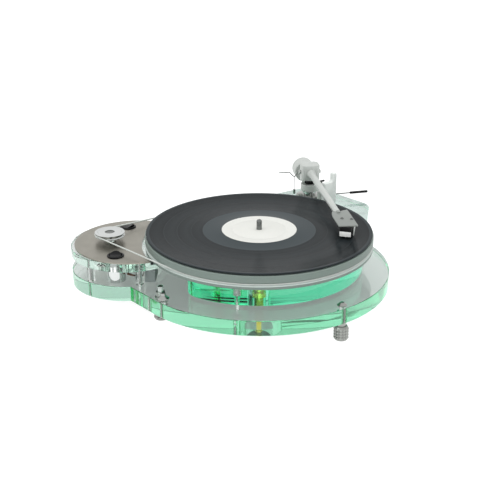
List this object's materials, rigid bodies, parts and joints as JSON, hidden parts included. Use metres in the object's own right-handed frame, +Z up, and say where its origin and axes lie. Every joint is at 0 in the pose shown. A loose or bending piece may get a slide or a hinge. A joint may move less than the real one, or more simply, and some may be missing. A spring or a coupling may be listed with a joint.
{
  "type": "turntable",
  "caption": "Belt-driven record player on stacked clear acrylic plinths, with a motor pod at the left, a frosted platter carrying a record, and a straight pivoted arm.",
  "frame": {"origin": "middle of the whole part's box, on the ground under the feet", "axes": "+Z up, -Y towards the listener, +X to the listener's right, where the arm stands"},
  "size_m": [0.427, 0.4452, 0.1245],
  "materials": {
    "acrylic": "clear green tint",
    "clear_acrylic": "clear",
    "frosted_acrylic": "frosted",
    "felt": "felt",
    "vinyl": "pressed, grooved",
    "paper": "plain",
    "polished_steel": "polished",
    "brushed_steel": "brushed",
    "brass": "turned",
    "satin_aluminium": "satin",
    "black_plastic": "moulded",
    "belt_rubber": "matt",
    "silicone": "soft, translucent",
    "grey_plastic": "moulded",
    "wire_sheath": "sheathed"
  },
  "bodies": {
    "base": {"lower_plinth": "acrylic", "upper_plinth": "acrylic", "motor_cover": "acrylic", "pod_spacer_1": "acrylic", "pod_spacer_2": "acrylic", "pod_spacer_3": "acrylic", "pod_spacer_4": "acrylic", "arm_rest": "clear_acrylic", "lock_stud": "polished_steel", "arm_base": "polished_steel", "isolator_pin_1": "polished_steel", "isolator_pin_2": "polished_steel", "isolator_pin_3": "polished_steel", "pod_rod_1": "polished_steel", "pod_rod_2": "polished_steel", "pod_rod_3": "polished_steel", "pod_rod_4": "polished_steel", "cover_plate": "brushed_steel", "motor_can": "brushed_steel", "bearing_housing": "brass", "bearing_nut": "brass", "arm_pillar": "satin_aluminium", "lift_base": "satin_aluminium", "front_switch_body": "black_plastic", "rear_switch_body": "black_plastic", "power_inlet": "black_plastic", "lead_gland": "black_plastic", "drive_belt": "belt_rubber", "isolator_pad_1": "silicone", "isolator_pad_2": "silicone", "isolator_pad_3": "silicone", "supply_box": "grey_plastic", "wire_loom": "wire_sheath"},
    "platter": {"platter": "frosted_acrylic", "platter_hub": "polished_steel", "mat": "felt", "record": "vinyl", "record_label": "paper", "spindle": "polished_steel"},
    "pulley": {"pulley": "polished_steel", "motor_shaft": "polished_steel"},
    "front_paddle": {"front_switch_paddle": "black_plastic"},
    "rear_paddle": {"rear_switch_paddle": "black_plastic"},
    "arm_swing": {"arm_yoke": "satin_aluminium", "bias_rod": "polished_steel", "bias_weight": "black_plastic"},
    "arm": {"arm_tube": "satin_aluminium", "headshell": "satin_aluminium", "cartridge": "black_plastic", "cartridge_band": "paper", "stylus": "polished_steel", "finger_lift": "satin_aluminium"},
    "counterweight": {"counterweight": "satin_aluminium"},
    "lever": {"cue_lever": "polished_steel", "cue_grip": "black_plastic"},
    "rail": {"lift_rail": "black_plastic"},
    "foot_front_right": {"foot_front_right": "polished_steel"},
    "foot_front_left": {"foot_front_left": "polished_steel"},
    "foot_rear": {"foot_rear": "polished_steel"}
  },
  "joints": [
    {"name": "platter_spin", "type": "hinge", "parent": "base", "child": "platter", "pos_m": [0.0385, -0.04763, 0.085], "axis": [0, 0, 1], "continuous": true},
    {"name": "pulley_spin", "type": "hinge", "parent": "base", "child": "pulley", "pos_m": [-0.1615, -0.04763, 0.087], "axis": [0, 0, 1], "continuous": true},
    {"name": "front_switch_rock", "type": "hinge", "parent": "base", "child": "front_paddle", "pos_m": [-0.147, -0.10163, 0.0802], "axis": [-1, 0, 0], "range_deg": [0, 24]},
    {"name": "rear_switch_rock", "type": "hinge", "parent": "base", "child": "rear_paddle", "pos_m": [-0.144, 0.00437, 0.0802], "axis": [0, 1, 0], "range_deg": [0, 24]},
    {"name": "arm_swing", "type": "hinge", "parent": "base", "child": "arm_swing", "pos_m": [0.115, 0.16077, 0.112], "axis": [0, 0, 1], "range_deg": [-14.5, 28]},
    {"name": "arm_lift", "type": "hinge", "parent": "arm_swing", "child": "arm", "pos_m": [0.115, 0.16077, 0.112], "axis": [-0.9881, -0.1537, 0], "range_deg": [0, 2.5]},
    {"name": "counterweight_slide", "type": "slide", "parent": "arm", "child": "counterweight", "axis": [0.1537, -0.9881, 0], "range_m": [-0.004, 0.01]},
    {"name": "cue_lever_lift", "type": "hinge", "parent": "base", "child": "lever", "pos_m": [0.13905, 0.1353, 0.0835], "axis": [0.2538, -0.9673, 0], "range_deg": [0, 28]},
    {"name": "rail_rise", "type": "slide", "parent": "base", "child": "rail", "axis": [0, 0, 1], "range_m": [0, 0.0014]},
    {"name": "foot_front_right_turn", "type": "hinge", "parent": "base", "child": "foot_front_right", "pos_m": [0.14099, -0.17694, 0.01], "axis": [0, 0, 1], "continuous": true},
    {"name": "foot_front_left_turn", "type": "hinge", "parent": "base", "child": "foot_front_left", "pos_m": [-0.0885, -0.12065, 0.01], "axis": [0, 0, 1], "continuous": true},
    {"name": "foot_rear_turn", "type": "hinge", "parent": "base", "child": "foot_rear", "pos_m": [-0.01249, 0.1093, 0.01], "axis": [0, 0, 1], "continuous": true}
  ],
  "couplings": [
    {"joint": "pulley_spin", "follows": "platter_spin", "ratio": 7.699},
    {"joint": "arm_lift", "follows": "cue_lever_lift", "ratio": 0.0892},
    {"joint": "rail_rise", "follows": "cue_lever_lift", "m_per_rad": 0.00286}
  ]
}
